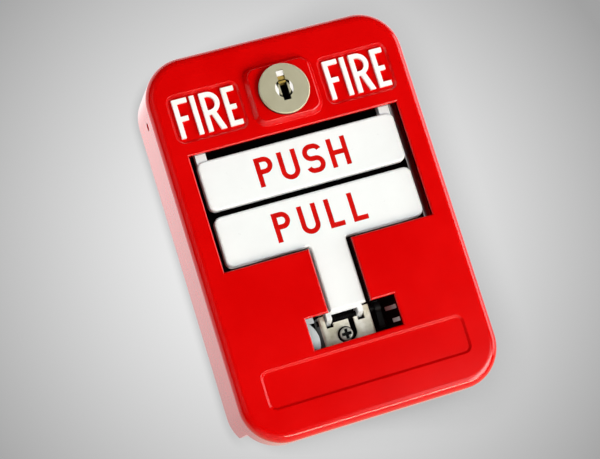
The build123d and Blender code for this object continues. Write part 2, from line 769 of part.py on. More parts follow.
def detent_block():
    """Nylon block behind the tongue that the tongue screw threads into."""
    x, z = TONGUE_SCREW
    reach = DETENT_BLOCK_SIZE / 2
    body = block((x - reach, x + reach), DETENT_BLOCK_Y, (z - reach, z + reach))
    return body - rod_y(TONGUE_SHANK_R, x, THROUGH, z)


def bracket_screws():
    """Two screws driven from behind into the bosses of the cover."""
    head_r, head_t = BRACKET_SCREW_HEAD
    under_y = WEB_Y[1]
    slot_y = (under_y + head_t / 2, under_y + head_t + 1)
    slot_z = (BRACKET_SCREW_Z - DRIVE_SLOT / 2, BRACKET_SCREW_Z + DRIVE_SLOT / 2)
    screws = []
    for x in BRACKET_SCREW_X:
        screw = rod_y(head_r, x, (under_y, under_y + head_t), BRACKET_SCREW_Z)
        screw += rod_y(BRACKET_SCREW_R, x, (INNER_Y + 2 * BOSS_FLOOR, under_y), BRACKET_SCREW_Z)
        screws.append(screw - block((x - head_r, x + head_r), slot_y, slot_z))
    return screws


def detent_leaf():
    """Round-nosed spring leaf riveted behind the front wall, beside the bracket."""
    cx, cz = LEAF_CENTRE
    nose = Pos(cx, cz) * Circle(LEAF_R) & bar(cx, cz - LEAF_R, cx + LEAF_R, cz + LEAF_R)
    foot = bar(cx - 3, cz - 4, cx, cz + 4)
    ear = bar(cx, LEAF_EAR_Z[0], LEAF_EAR_X, LEAF_EAR_Z[1])
    leaf = prism_y(nose + foot + ear, LEAF_Y)
    return leaf - rod_y(LEAF_RIVET_R, cx, (-30, -20), cz)


def leaf_rivet():
    cx, cz = LEAF_CENTRE
    head = rod_y(2 * LEAF_RIVET_R, cx, (LEAF_Y[1], LEAF_Y[1] + LEAF_RIVET_R), cz)
    return head + rod_y(LEAF_RIVET_R, cx, LEAF_Y, cz)


def switch_body():
    body = block(SWITCH_X, SWITCH_Y, SWITCH_Z)
    body = chamfer(body.edges().filter_by(Axis.X), SWITCH_CHAMFER)
    body -= rod_y(PLUNGER_R + RUNNING, PLUNGER_X, (-17, PLUNGER_BORE_END_Y), PLUNGER_Z)
    for z in SWITCH_SCREW_Z:
        body -= rod_x(SWITCH_SCREW_R, (SWITCH_X[0] - 1, SWITCH_X[1] + 1), SWITCH_SCREW_Y, z)
    return body


def switch_tabs():
    """Solder tabs on the switch's front face, each with a raised lip at its right end."""
    front = SWITCH_Y[0]
    tabs = []
    for left, right, z in TABS:
        tab = block((left, right), (front - TAB_T, front), (z - TAB_W / 2, z + TAB_W / 2))
        lip = block((right - TAB_T, right), (front - TAB_LIP, front), (z - TAB_W / 2, z + TAB_W / 2))
        tabs.append(tab + lip)
    return tabs


def switch_screws():
    """Two slotted screws that hold the switch to the bracket's long flange."""
    front = SWITCH_X[1]
    head_r, head_t = SWITCH_SCREW_HEAD
    y = SWITCH_SCREW_Y
    slot_y = (y - DRIVE_SLOT / 2, y + DRIVE_SLOT / 2)
    screws = []
    for z in SWITCH_SCREW_Z:
        screw = rod_x(head_r, (front, front + head_t), y, z)
        screw += rod_x(SWITCH_SCREW_R, (SWITCH_SCREW_END_X, front), y, z)
        screws.append(screw - block((front + head_t / 2, front + 2), slot_y, (z - head_r, z + head_r)))
    return screws


def flap_pins():
    pin = rod_x(FLAP_PIN_R, (FLAP_LUG_X[0] - OVERLAP, FLAP_EAR_X[1]), *FLAP_AXIS)
    return mirrored(pin)


def flap_springs():
    """Outer shape of the two coiled flap springs, between each lug and its ear."""
    y, z = FLAP_AXIS
    limits = (FLAP_LUG_X[1] + SPRING_END_GAP, FLAP_EAR_X[0] - SPRING_END_GAP)
    coil = rod_x(FLAP_SPRING_R, limits, y, z)
    return mirrored(coil - rod_x(FLAP_PIN_R + SPRING_BORE_GAP, limits, y, z))


def handle_spring():
    """Outer shape of the coiled handle spring, round the pin between the feet."""
    coil = rod_x(HANDLE_SPRING_R, HANDLE_SPRING_X, *HANDLE_AXIS)
    return coil - rod_x(HANDLE_PIN_R + SPRING_BORE_GAP, HANDLE_SPRING_X, *HANDLE_AXIS)


# Parts that move on the cover

def lock_plug():
    front = DISC_FRONT_Y + PLUG_SET_BACK
    plug = rod_y(PLUG_R, 0, (front, PLUG_BACK_Y), LOCK_Z)
    plug = chamfer(front_edges(plug), PLUG_CHAMFER)
    slot = block((-KEYWAY_W / 2, KEYWAY_W / 2), (front - 1, KEYWAY_BACK_Y), (LOCK_Z - 4, LOCK_Z + 4))
    plug -= slot
    flats = rod_y(PLUG_R + 1, 0, (CAM_Y[0], PLUG_BACK_Y), LOCK_Z)
    square = (LOCK_Z - SQUARE_HALF, LOCK_Z + SQUARE_HALF)
    flats -= block((-SQUARE_HALF, SQUARE_HALF), (CAM_Y[0] - 1, PLUG_BACK_Y + 1), square)
    plug -= flats
    return plug - rod_y(CAM_SCREW_R, 0, (CAM_SCREW_END_Y, 0), LOCK_Z)


def lock_wafers():
    """The ends of the levers that lie inside the plug."""
    return [slot_piece(lever_y(layer), WAFER_Z) for layer in range(LEVER_COUNT)]


def lock_cam():
    outline = Pos(0, LOCK_Z) * Circle(CAM_W / 2)
    outline += bar(-CAM_W / 2, LOCK_Z, CAM_W / 2, LOCK_Z + CAM_REACH - 2)
    outline += bar(-CAM_W / 2 + 2, LOCK_Z, CAM_W / 2 - 2, LOCK_Z + CAM_REACH)
    outline -= bar(-SQUARE_HALF, LOCK_Z - SQUARE_HALF, SQUARE_HALF, LOCK_Z + SQUARE_HALF)
    return prism_y(outline, CAM_Y)


def cam_screw():
    head_r, head_t = CAM_SCREW_HEAD
    end_y = PLUG_BACK_Y + head_t
    screw = rod_y(head_r, 0, (PLUG_BACK_Y, end_y), LOCK_Z)
    screw += rod_y(CAM_SCREW_R, 0, (CAM_SCREW_END_Y, PLUG_BACK_Y), LOCK_Z)
    slot_z = (LOCK_Z - DRIVE_SLOT / 2, LOCK_Z + DRIVE_SLOT / 2)
    return screw - block((-head_r, head_r), (end_y - head_t / 2, end_y + 1), slot_z)


def letter_pockets(letters):
    """The material that debossed letters take out of a bar's front."""
    return [prism_y(letter, (BAR_FRONT_Y - 1, BAR_FRONT_Y + WORD_DEPTH)) for letter in letters]


def letter_fill(letters):
    """Paint lying in the bottom of debossed letters."""
    floor_y = BAR_FRONT_Y + WORD_DEPTH
    return [prism_y(letter, (floor_y - WORD_FILL, floor_y)) for letter in letters]


def push_flap():
    height = PUSH_Z[1] - PUSH_Z[0]
    middle = sum(PUSH_Z) / 2
    flap = plate_y(2 * BAR_HALF_W, height, BAR_CORNER_R, (BAR_FRONT_Y, BAR_BACK_Y), 0, middle)
    flap = fillet(front_edges(flap), BAR_EDGE_FILLET)
    y, z = FLAP_AXIS
    profile = Pos(y, z) * Circle(FLAP_LUG_R) + bar(y - FLAP_LUG_R, PUSH_Z[1] - LUG_OVERLAP, y + LUG_BACK, z)
    for lug in mirrored(prism_x(profile, FLAP_LUG_X)):
        flap += lug
    flap -= rod_x(FLAP_PIN_R + RUNNING, (-40, 40), y, z)
    for pocket in letter_pockets(push_word()):
        flap -= pocket
    return flap


def pull_handle():
    height = PULL_Z[1] - PULL_Z[0]
    middle = sum(PULL_Z) / 2
    outline = Pos(0, middle) * RectangleRounded(2 * BAR_HALF_W, height, BAR_CORNER_R)
    outline += bar(-STEM_HALF_W, STEM_END_Z, STEM_HALF_W, PULL_Z[0] + STEM_ROOT_FILLET)
    roots = [v for v in outline.vertices() if abs(v.Y - PULL_Z[0]) < 0.01]
    roots = [v for v in roots if abs(abs(v.X) - STEM_HALF_W) < 0.01]
    outline = fillet(roots, STEM_ROOT_FILLET)
    handle = prism_y(outline, (BAR_FRONT_Y, BAR_BACK_Y))
    handle = fillet(front_edges(handle), BAR_EDGE_FILLET)
    handle += block((FOOT_X[0][0], FOOT_X[1][1]), YOKE_Y, YOKE_Z)
    y, z = HANDLE_AXIS
    foot = Pos(y, z) * Circle(FOOT_R)
    foot += make_face(Polyline(
        (FOOT_FRONT_Y, YOKE_Z[1]),
        (FOOT_FRONT_Y, FOOT_CORNER_Z),
        (y, z - FOOT_R),
        (y, z + FOOT_R),
        (YOKE_Y[1], YOKE_Z[1]),
        close=True,
    ))
    for limits in FOOT_X:
        handle += prism_x(foot, limits)
    handle -= rod_x(HANDLE_PIN_R, (-10, 10), y, z)
    for pocket in letter_pockets(pull_word()):
        handle -= pocket
    return handle


def handle_pin():
    return rod_x(HANDLE_PIN_R, HANDLE_PIN_X, *HANDLE_AXIS)


def cam_lever():
    """Arm on the handle pin that presses the switch plunger as the handle comes out."""
    y, z = HANDLE_AXIS
    tip_r = CAM_LEVER_W / 2
    tip_z = CAM_LEVER_END_Z + tip_r
    profile = Pos(y, z) * Circle(CAM_LEVER_HUB_R) + bar(y - tip_r, tip_z, y + tip_r, z)
    profile += Pos(y, tip_z) * Circle(tip_r)
    return prism_x(profile, CAM_LEVER_X) - rod_x(HANDLE_PIN_R, HANDLE_PIN_X, y, z)


def switch_plunger():
    plunger = rod_y(PLUNGER_R, PLUNGER_X, (PLUNGER_FRONT_Y, PLUNGER_BACK_Y), PLUNGER_Z)
    return fillet(front_edges(plunger), PLUNGER_EDGE_FILLET)


NODES = {
    "back_plate": back_plate(),
    "hinge_pin": hinge_pin(),
    "hinge_clips": hinge_clips(),
    "insulating_card": insulating_card(),
    "terminal_block": terminal_block(),
    "terminal_clamps": terminal_clamps(),
    "terminal_screws": terminal_screws(),
    "block_screws": block_screws(),
    "earth_screw": earth_screw(),
    "earth_washer": earth_washer(),
    "latch_keeper": latch_keeper(),
    "keeper_rivets": keeper_rivets(),
    "front_cover": front_cover(),
    "legend_left": fire_legend(-LEGEND_X),
    "legend_right": fire_legend(LEGEND_X),
    "lock_housing": lock_housing(),
    "lock_levers": lock_levers(),
    "lock_guide": lock_guide(),
    "lock_washer": lock_washer(),
    "lock_nut": lock_nut(),
    "handle_bracket": handle_bracket(),
    "tongue_screw": tongue_screw(),
    "tongue_washer": tongue_washer(),
    "detent_block": detent_block(),
    "bracket_screws": bracket_screws(),
    "detent_leaf": detent_leaf(),
    "leaf_rivet": leaf_rivet(),
    "switch_body": switch_body(),
    "switch_tabs": switch_tabs(),
    "switch_screws": switch_screws(),
    "flap_pins": flap_pins(),
    "flap_springs": flap_springs(),
    "handle_spring": handle_spring(),
    "lock_plug": lock_plug(),
    "lock_wafers": lock_wafers(),
    "lock_cam": lock_cam(),
    "cam_screw": cam_screw(),
    "push_flap": push_flap(),
    "push_legend": letter_fill(push_word()),
    "pull_handle": pull_handle(),
    "pull_legend": letter_fill(pull_word()),
    "handle_pin": handle_pin(),
    "cam_lever": cam_lever(),
    "switch_plunger": switch_plunger(),
}

os.makedirs("parts", exist_ok=True)
for name, shape in NODES.items():
    pieces = shape if isinstance(shape, list) else [shape]
    solids = [solid for piece in pieces for solid in piece.solids()]
    export_step(Compound(children=solids), os.path.join("parts", name + ".step"))
    print(name, len(solids))
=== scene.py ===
import json
import math

import bpy
from mathutils import Matrix, Vector


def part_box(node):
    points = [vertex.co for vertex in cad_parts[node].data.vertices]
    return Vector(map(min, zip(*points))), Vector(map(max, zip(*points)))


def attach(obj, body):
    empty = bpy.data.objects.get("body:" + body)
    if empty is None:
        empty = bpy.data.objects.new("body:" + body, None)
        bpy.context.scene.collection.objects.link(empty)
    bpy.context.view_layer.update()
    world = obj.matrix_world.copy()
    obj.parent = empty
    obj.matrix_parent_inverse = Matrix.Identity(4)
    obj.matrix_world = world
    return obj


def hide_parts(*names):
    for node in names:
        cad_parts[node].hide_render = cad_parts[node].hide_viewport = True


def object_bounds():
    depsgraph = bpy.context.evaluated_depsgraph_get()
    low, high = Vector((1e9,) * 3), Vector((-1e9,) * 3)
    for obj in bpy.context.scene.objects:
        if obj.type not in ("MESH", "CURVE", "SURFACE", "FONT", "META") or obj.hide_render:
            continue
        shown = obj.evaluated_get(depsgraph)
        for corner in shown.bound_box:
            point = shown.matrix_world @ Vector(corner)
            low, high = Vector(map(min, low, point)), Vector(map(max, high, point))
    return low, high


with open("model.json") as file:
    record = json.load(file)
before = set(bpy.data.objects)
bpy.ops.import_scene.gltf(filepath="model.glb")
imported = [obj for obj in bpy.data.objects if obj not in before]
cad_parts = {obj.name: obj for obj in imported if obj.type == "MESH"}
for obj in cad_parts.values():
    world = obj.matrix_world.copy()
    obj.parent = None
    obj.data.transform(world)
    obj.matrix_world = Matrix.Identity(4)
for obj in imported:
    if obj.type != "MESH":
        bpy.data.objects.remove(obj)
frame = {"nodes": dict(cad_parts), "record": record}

CAD_LOW, CAD_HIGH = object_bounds()
NODES = frame["nodes"]

# Camera: where it stands, what it looks at and how far it is rolled
CAMERA_AT = Vector((-0.13694, -0.57242, -0.07544))
CAMERA_AIM = Vector((-0.00786, -0.0275, 0.00028))
CAMERA_ROLL = 17.36
CAMERA_LENS = 110.28
SENSOR_WIDTH = 36.0

# Floor and sky
FLOOR_BELOW = 1.2
FLOOR_SIZE = 8.0
FLOOR_GREY = 0.60
SKY_GREY = 0.72
DARK_SKY = 0.015

# Card behind the object: its greys fade outward from a bright spot (x, z), a painted pool of light,
# and its painted contact shade reaches further on the object's right. Its light on the object
# changes with height.
CARD_BEHIND = 0.004
CARD_SIZE = 2.4
CARD_BRIGHT_AT = (0.000, 0.005)
CARD_FADE_OVER = 0.127
CARD_GREYS = (1.05, 0.36)
CARD_SHADE_ACROSS = (-0.045, 0.045)
CARD_SHADE_REACHES = (0.005, 0.022)
CARD_GLOW = 1.5
CARD_GLOW_HEIGHTS = (-0.070, 0.060)
CARD_GLOWS = ((0.0, (0.57, 0.53, 0.42)), (0.085, (0.50, 0.49, 0.48)), (1.0, (0.98, 0.98, 0.98)))

WHITE = (1.0, 1.0, 1.0)
WARM = (1.0, 0.82, 0.66)

# Finishes: EVEN grain is the same along every axis, and UPRIGHT grain is drawn out along Z
EVEN = (1.0, 1.0, 1.0)
UPRIGHT = (1.0, 1.0, 0.12)
DULL = 0.12
EDGE_LOOK_R = 0.00018

# The cover's windows, whose cut walls get painted shade between two depths behind the front
PAD_PROUD = 0.0020
WINDOW_REACH = 0.0365
WINDOW_HEIGHTS = (-0.0375, 0.0330)
WINDOW_SHADE_DEPTHS = (0.0008, 0.0023)

# Depths behind their fronts over which painted shade darkens the lock, the bracket and the tongue
# screw
LOCK_SHADE_DEPTHS = (0.0003, 0.0007)
BRACKET_SHADE_DEPTHS = (0.0008, 0.0012)
RECESS_SHADE_DEPTHS = (0.0003, 0.0006)

# Springs
COIL_STEPS = 20
WIRE_SIDES = 8
HANDLE_WIRE = 0.00025
HANDLE_TURNS = 12
FLAP_SPRING_LENGTH = 0.0019
FLAP_WIRE = 0.0003
FLAP_TURNS = 3

# Painted highlights: bright crescents on the lock's plug
GLINT_R = 0.00308
GLINT_WIDTH = 0.00125
GLINT_TIP_WIDTH = 0.00002
GLINT_SPREAD = math.radians(46)
GLINT_STEPS = 16
GLINT_PROUD = 0.00003

SLOT_OF = {entry["node"]: entry["material_slot"] for entry in frame["record"]["subparts"]}


def middle_of(node):
    """The centre of a CAD node's box."""
    low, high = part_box(node)
    return (low + high) / 2


# ---------------------------------------------------------------- materials

def spread(nodes, links, value, source, target):
    """A socket that maps value from the range source to the range target."""
    span = nodes.new("ShaderNodeMapRange")
    for name, limit in zip(("From Min", "From Max", "To Min", "To Max"), (*source, *target)):
        span.inputs[name].default_value = limit
    links.new(value, span.inputs["Value"])
    return span.outputs["Result"]


def mix_shaders(nodes, links, factor, zero, one):
    """The shader zero where factor is 0, and one where it is 1."""
    either = nodes.new("ShaderNodeMixShader")
    links.new(factor, either.inputs["Fac"])
    links.new(zero.outputs[0], either.inputs[1])
    links.new(one.outputs[0], either.inputs[2])
    return either


class Recipe:
    """A node material with one Principled shader, built step by step."""

    def __init__(self, name, colour, roughness, metallic=0.0):
        self.material = bpy.data.materials.new(name)
        self.material.use_nodes = True
        self.nodes = self.material.node_tree.nodes
        self.links = self.material.node_tree.links
        self.shader = self.nodes["Principled BSDF"]
        self.shader.inputs["Base Color"].default_value = (*colour, 1.0)
        self.shader.inputs["Roughness"].default_value = roughness
        self.shader.inputs["Metallic"].default_value = metallic
        self.coordinates = self.nodes.new("ShaderNodeTexCoord")

    def set(self, socket, value):
        self.shader.inputs[socket].default_value = value

    def place(self, stretch):
        """Object coordinates, scaled along each axis."""
        mapping = self.nodes.new("ShaderNodeMapping")
        mapping.vector_type = "POINT"
        mapping.inputs["Scale"].default_value = stretch
        self.links.new(self.coordinates.outputs["Object"], mapping.inputs["Vector"])
        return mapping.outputs["Vector"]

    def noise(self, scale, detail=3.0, stretch=EVEN):
        """Noise with features of 1/scale metres."""
        noise = self.nodes.new("ShaderNodeTexNoise")
        noise.inputs["Scale"].default_value = scale
        noise.inputs["Detail"].default_value = detail
        self.links.new(self.place(stretch), noise.inputs["Vector"])
        return noise.outputs["Fac"]

    def colours(self, factor, low, high):
        """Goes from the colour low to the colour high over the middle of factor's range."""
        ramp = self.nodes.new("ShaderNodeValToRGB")
        for stop, position, colour in zip(ramp.color_ramp.elements, (0.35, 0.65), (low, high)):
            stop.position = position
            stop.color = (*colour, 1.0)
        self.links.new(factor, ramp.inputs["Fac"])
        self.links.new(ramp.outputs["Color"], self.shader.inputs["Base Color"])

    def axes(self):
        """Object coordinates, one output for each of X, Y and Z."""
        split = self.nodes.new("ShaderNodeSeparateXYZ")
        self.links.new(self.coordinates.outputs["Object"], split.inputs["Vector"])
        return split.outputs

    def dim(self, factor, start, end, remain):
        """Multiplies the colour down to remain as factor goes from start to end."""
        share = spread(self.nodes, self.links, factor, (start, end), (1.0, remain))
        mixer = self.nodes.new("ShaderNodeMix")
        mixer.data_type = "RGBA"
        mixer.blend_type = "MULTIPLY"
        mixer.inputs["Factor"].default_value = 1.0
        colour = self.shader.inputs["Base Color"]
        self.links.new(colour.links[0].from_socket, mixer.inputs["A"])
        self.links.new(share, mixer.inputs["B"])
        self.links.new(mixer.outputs["Result"], colour)

    def within(self, value, start, end):
        """1 where value lies between start and end, and 0 elsewhere."""
        test = self.nodes.new("ShaderNodeMath")
        test.operation = "COMPARE"
        test.inputs[1].default_value = (start + end) / 2
        test.inputs[2].default_value = (end - start) / 2
        self.links.new(value, test.inputs[0])
        return test.outputs["Value"]

    def darken_behind(self, node, depths, remain):
        """Paints shade: multiplies the colour down to remain over a pair of depths behind a node's
        front.
        """
        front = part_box(node)[0].y
        self.dim(self.axes()["Y"], front + depths[0], front + depths[1], remain)

    def darken_inside(self, low, high, remain):
        """Paints shade: multiplies the colour by remain where the surface lies in the box from low
        to high.
        """
        axes = self.axes()
        inside = self.within(axes["X"], low[0], high[0])
        for axis, start, end in (("Y", low[1], high[1]), ("Z", low[2], high[2])):
            both = self.nodes.new("ShaderNodeMath")
            both.operation = "MULTIPLY"
            self.links.new(inside, both.inputs[0])
            self.links.new(self.within(axes[axis], start, end), both.inputs[1])
            inside = both.outputs["Value"]
        self.dim(inside, 0.0, 1.0, remain)

    def gloss(self, factor, low, high):
        """Roughness that varies between low and high."""
        roughness = spread(self.nodes, self.links, factor, (0.0, 1.0), (low, high))
        self.links.new(roughness, self.shader.inputs["Roughness"])

    def round_edges(self, radius):
        """Softens the look of the edges over radius metres; called before bump."""
        bevel = self.nodes.new("ShaderNodeBevel")
        bevel.samples = 6
        bevel.inputs["Radius"].default_value = radius
        self.links.new(bevel.outputs["Normal"], self.shader.inputs["Normal"])

    def bump(self, height, depth):
        """Relief of about depth metres, on top of rounded edges if there are any."""
        bump = self.nodes.new("ShaderNodeBump")
        bump.inputs["Strength"].default_value = 1.0
        bump.inputs["Distance"].default_value = depth
        normal = self.shader.inputs["Normal"]
        if normal.is_linked:
            self.links.new(normal.links[0].from_socket, bump.inputs["Normal"])
        self.links.new(height, bump.inputs["Height"])
        self.links.new(bump.outputs["Normal"], normal)


def red_enamel():
    """Glossy enamel with a slight orange peel, with painted shade on the cut walls of the cover's
    windows.
    """
    recipe = Recipe("red_enamel", (0.62, 0.0, 0.0), 0.16)
    recipe.colours(recipe.noise(55.0, 4.0), (0.60, 0.000, 0.000), (0.655, 0.001, 0.001))
    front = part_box("front_cover")[0].y + PAD_PROUD
    low = (-WINDOW_REACH, front + WINDOW_SHADE_DEPTHS[0], WINDOW_HEIGHTS[0])
    high = (WINDOW_REACH, front + WINDOW_SHADE_DEPTHS[1], WINDOW_HEIGHTS[1])
    # Painted shade: the cut walls of the windows are darkened to near black
    recipe.darken_inside(low, high, 0.03)
    recipe.gloss(recipe.noise(240.0), 0.13, 0.17)
    recipe.round_edges(EDGE_LOOK_R)
    recipe.bump(recipe.noise(620.0, 2.0), 0.0000015)
    return recipe.material


def white_paint():
    recipe = Recipe("white_paint", (0.90, 0.90, 0.87), 0.35)
    recipe.colours(recipe.noise(300.0), (0.90, 0.90, 0.87), (0.95, 0.95, 0.93))
    recipe.bump(recipe.noise(1500.0), 0.00002)
    return recipe.material


def white_plastic():
    recipe = Recipe("white_plastic", (0.83, 0.87, 0.87), 0.3)
    recipe.colours(recipe.noise(90.0), (0.815, 0.86, 0.862), (0.845, 0.89, 0.892))
    recipe.gloss(recipe.noise(400.0), 0.24, 0.36)
    recipe.bump(recipe.noise(900.0), 0.00001)
    return recipe.material


def red_fill():
    recipe = Recipe("red_fill", (0.62, 0.01, 0.005), 0.35)
    recipe.set("Specular IOR Level", 0.15)
    recipe.colours(recipe.noise(500.0), (0.50, 0.002, 0.001), (0.60, 0.004, 0.002))
    recipe.bump(recipe.noise(1600.0), 0.00002)
    return recipe.material


def black_paint():
    recipe = Recipe("black_paint", (0.012, 0.012, 0.013), 0.45)
    recipe.set("Specular IOR Level", DULL)
    recipe.colours(recipe.noise(160.0), (0.002, 0.002, 0.002), (0.006, 0.006, 0.006))
    recipe.gloss(recipe.noise(300.0), 0.38, 0.55)
    recipe.bump(recipe.noise(2200.0), 0.00003)
    return recipe.material


def black_plastic():
    recipe = Recipe("black_plastic", (0.014, 0.014, 0.015), 0.4)
    recipe.set("Specular IOR Level", DULL)
    recipe.colours(recipe.noise(200.0), (0.002, 0.002, 0.002), (0.006, 0.006, 0.006))
    recipe.bump(recipe.noise(2600.0), 0.00002)
    return recipe.material


def metal(name, dark, light, smooth, rough, grain=EVEN, shine=1.0):
    """Metal with drifting colour and grain; shine is the metallic share of its gloss."""
    recipe = Recipe(name, light, rough, metallic=shine)
    recipe.colours(recipe.noise(180.0, 4.0), dark, light)
    recipe.gloss(recipe.noise(700.0, 4.0, grain), smooth, rough)
    recipe.bump(recipe.noise(1600.0, 4.0, grain), 0.00001)
    return recipe


def plated_steel():
    """Warm matt nickel, blotched by handling."""
    recipe = metal("plated_steel", (0.66, 0.63, 0.50), (0.92, 0.90, 0.78), 0.3, 0.5, UPRIGHT, 0.35)
    return recipe.material


def steel():
    return metal("steel", (0.48, 0.48, 0.48), (0.66, 0.66, 0.66), 0.22, 0.4, shine=0.7).material


def spring_steel():
    return metal("spring_steel", (0.60, 0.68, 0.70), (0.80, 0.88, 0.90), 0.15, 0.3,
                 (1.0, 1.0, 0.1), 0.3).material


def lock_metal():
    """Satin nickel on the lock's face, with painted shade in its gaps and in the keyway."""
    recipe = metal("lock_metal", (0.60, 0.58, 0.40), (0.64, 0.62, 0.44), 0.34, 0.48, shine=0.5)
    # Painted shade in the gaps around the disc and in the keyway
    recipe.darken_behind("lock_housing", LOCK_SHADE_DEPTHS, 0.01)
    return recipe.material


def bracket_steel():
    """The bracket's warm matt nickel, with painted shade behind its web."""
    recipe = metal("bracket_steel", (0.50, 0.46, 0.30), (0.98, 0.96, 0.84), 0.3, 0.5, UPRIGHT, 0.3)
    # Painted shade behind the bracket's web
    recipe.darken_behind("handle_bracket", BRACKET_SHADE_DEPTHS, 0.02)
    return recipe.material


def recessed_steel():
    """Steel of the tongue screw, with painted shade in its recess."""
    recipe = metal("recessed_steel", (0.40, 0.40, 0.34), (0.80, 0.80, 0.72), 0.22, 0.4, shine=0.5)
    # Painted shade in the screw's cross recess
    recipe.darken_behind("tongue_screw", RECESS_SHADE_DEPTHS, 0.01)
    return recipe.material


def brass():
    return metal("brass", (0.50, 0.34, 0.03), (0.86, 0.66, 0.22), 0.2, 0.36, shine=0.5).material


def card():
    recipe = Recipe("card", (0.02, 0.02, 0.02), 0.8)
    recipe.set("Specular IOR Level", DULL)
    recipe.colours(recipe.noise(900.0, 5.0), (0.003, 0.003, 0.003), (0.010, 0.010, 0.010))
    recipe.bump(recipe.noise(2600.0, 5.0), 0.00005)
    return recipe.material


def tin():
    return metal("tin", (0.90, 0.90, 0.88), (0.98, 0.98, 0.97), 0.25, 0.45, shine=0.05).material


def nylon():
    recipe = Recipe("nylon", (0.02, 0.02, 0.02), 0.5)
    recipe.set("Specular IOR Level", DULL)
    recipe.colours(recipe.noise(260.0), (0.003, 0.003, 0.003), (0.008, 0.008, 0.008))
    recipe.bump(recipe.noise(1800.0), 0.00003)
    return recipe.material


def earth_green():
    return metal("earth_green", (0.03, 0.22, 0.07), (0.08, 0.42, 0.16), 0.25, 0.4).material


FINISHES = {
    "red_enamel": red_enamel,
    "white_paint": white_paint,
    "white_plastic": white_plastic,
    "red_fill": red_fill,
    "black_paint": black_paint,
    "black_plastic": black_plastic,
    "plated_steel": plated_steel,
    "steel": steel,
    "spring_steel": spring_steel,
    "lock_metal": lock_metal,
    "brass": brass,
    "card": card,
    "tin": tin,
    "nylon": nylon,
    "earth_green": earth_green,
}


def dress_nodes():
    """Gives each CAD node the finish of its slot in the record."""
    made = {slot: make() for slot, make in FINISHES.items()}
    for entry in frame["record"]["subparts"]:
        node = NODES[entry["node"]]
        node.data.materials.clear()
        node.data.materials.append(made[entry["material_slot"]])
    for node, finish in (("tongue_screw", recessed_steel()), ("handle_bracket", bracket_steel())):
        NODES[node].data.materials.clear()
        NODES[node].data.materials.append(finish)
    return made


# ------------------------------------------------------------------- pieces

def piece(name, verts, faces, body, finish, smooth=False):
    """A mesh piece that rides on a body and has the finish of a slot."""
    mesh = bpy.data.meshes.new(name)
    mesh.from_pydata(verts, [], faces)
    mesh.polygons.foreach_set("use_smooth", [smooth] * len(mesh.polygons))
    mesh.update()
    made = bpy.data.objects.new(name, mesh)
    made.data.materials.append(finish)
    bpy.context.scene.collection.objects.link(made)
    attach(made, body)
    return made


def plug_glints(finishes):
    """Two bright crescents on the plug's rim, left and right of the keyway: painted highlights
    where the rim's chamfer catches the light.
    """
    centre = middle_of("lock_plug")
    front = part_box("lock_plug")[0].y
    for name, side in (("plug_glint_left", -1), ("plug_glint_right", 1)):
        verts, faces = [], []
        for step in range(GLINT_STEPS + 1):
            turn = (step / GLINT_STEPS * 2 - 1) * GLINT_SPREAD
            width = GLINT_WIDTH * math.cos(turn / GLINT_SPREAD * math.pi / 2) + GLINT_TIP_WIDTH
            for radius in (GLINT_R, GLINT_R - width):
                x = centre.x + side * radius * math.cos(turn)
                z = centre.z + radius * math.sin(turn)
                verts.append((x, front - GLINT_PROUD, z))
                verts.append((x, front + GLINT_PROUD, z))
            if step:
                a, b = 4 * (step - 1), 4 * step
                faces += [(a, b, b + 2, a + 2), (a + 1, a + 3, b + 3, b + 1)]
                faces += [(a, a + 1, b + 1, b), (a + 2, b + 2, b + 3, a + 3)]
        last = 4 * GLINT_STEPS
        faces += [(0, 2, 3, 1), (last, last + 1, last + 3, last + 2)]
        if side < 0:
            faces = [face[::-1] for face in faces]
        # Painted highlight pieces in a bright white finish
        piece(name, verts, faces, "lock", finishes["tin"])


def coil(low, high, wire, turns):
    """The mesh of a closely wound spring along X that fills the box between two corners."""
    centre_y, centre_z = (low.y + high.y) / 2, (low.z + high.z) / 2
    radius = (high.z - low.z) / 2 - wire
    length = high.x - low.x - 2 * wire
    verts, faces = [], []
    count = turns * COIL_STEPS
    for step in range(count + 1):
        angle = 2 * math.pi * step / COIL_STEPS
        x = low.x + wire + length * step / count
        for side in range(WIRE_SIDES):
            tilt = 2 * math.pi * side / WIRE_SIDES
            reach = radius + wire * math.cos(tilt)
            verts.append((
                x + wire * math.sin(tilt),
                centre_y + reach * math.cos(angle),
                centre_z + reach * math.sin(angle),
            ))
        if step:
            first, second = (step - 1) * WIRE_SIDES, step * WIRE_SIDES
            for side in range(WIRE_SIDES):
                after = (side + 1) % WIRE_SIDES
                faces.append((first + side, second + side, second + after, first + after))
    faces.append(tuple(range(WIRE_SIDES)))
    faces.append(tuple(range(count * WIRE_SIDES, (count + 1) * WIRE_SIDES))[::-1])
    return verts, faces


def springs(finishes):
    """Wound springs in place of the CAD's plain sleeves."""
    low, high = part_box("handle_spring")
    verts, faces = coil(low, high, HANDLE_WIRE, HANDLE_TURNS)
    slot = SLOT_OF["handle_spring"]
    wound = piece("handle_spring_coil", verts, faces, "cover", finishes[slot], True)
    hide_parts("handle_spring")
    low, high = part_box("flap_springs")
    width = FLAP_SPRING_LENGTH
    verts, faces = [], []
    for start in (low.x, high.x - width):
        near = Vector((start, low.y, low.z))
        far = Vector((start + width, high.y, high.z))
        more_verts, more_faces = coil(near, far, FLAP_WIRE, FLAP_TURNS)
        faces += [tuple(index + len(verts) for index in face) for face in more_faces]
        verts += more_verts
    slot = SLOT_OF["flap_springs"]
    wound = piece("flap_spring_coils", verts, faces, "cover", finishes[slot], True)
    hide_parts("flap_springs")


# ------------------------------------------------------------------- studio

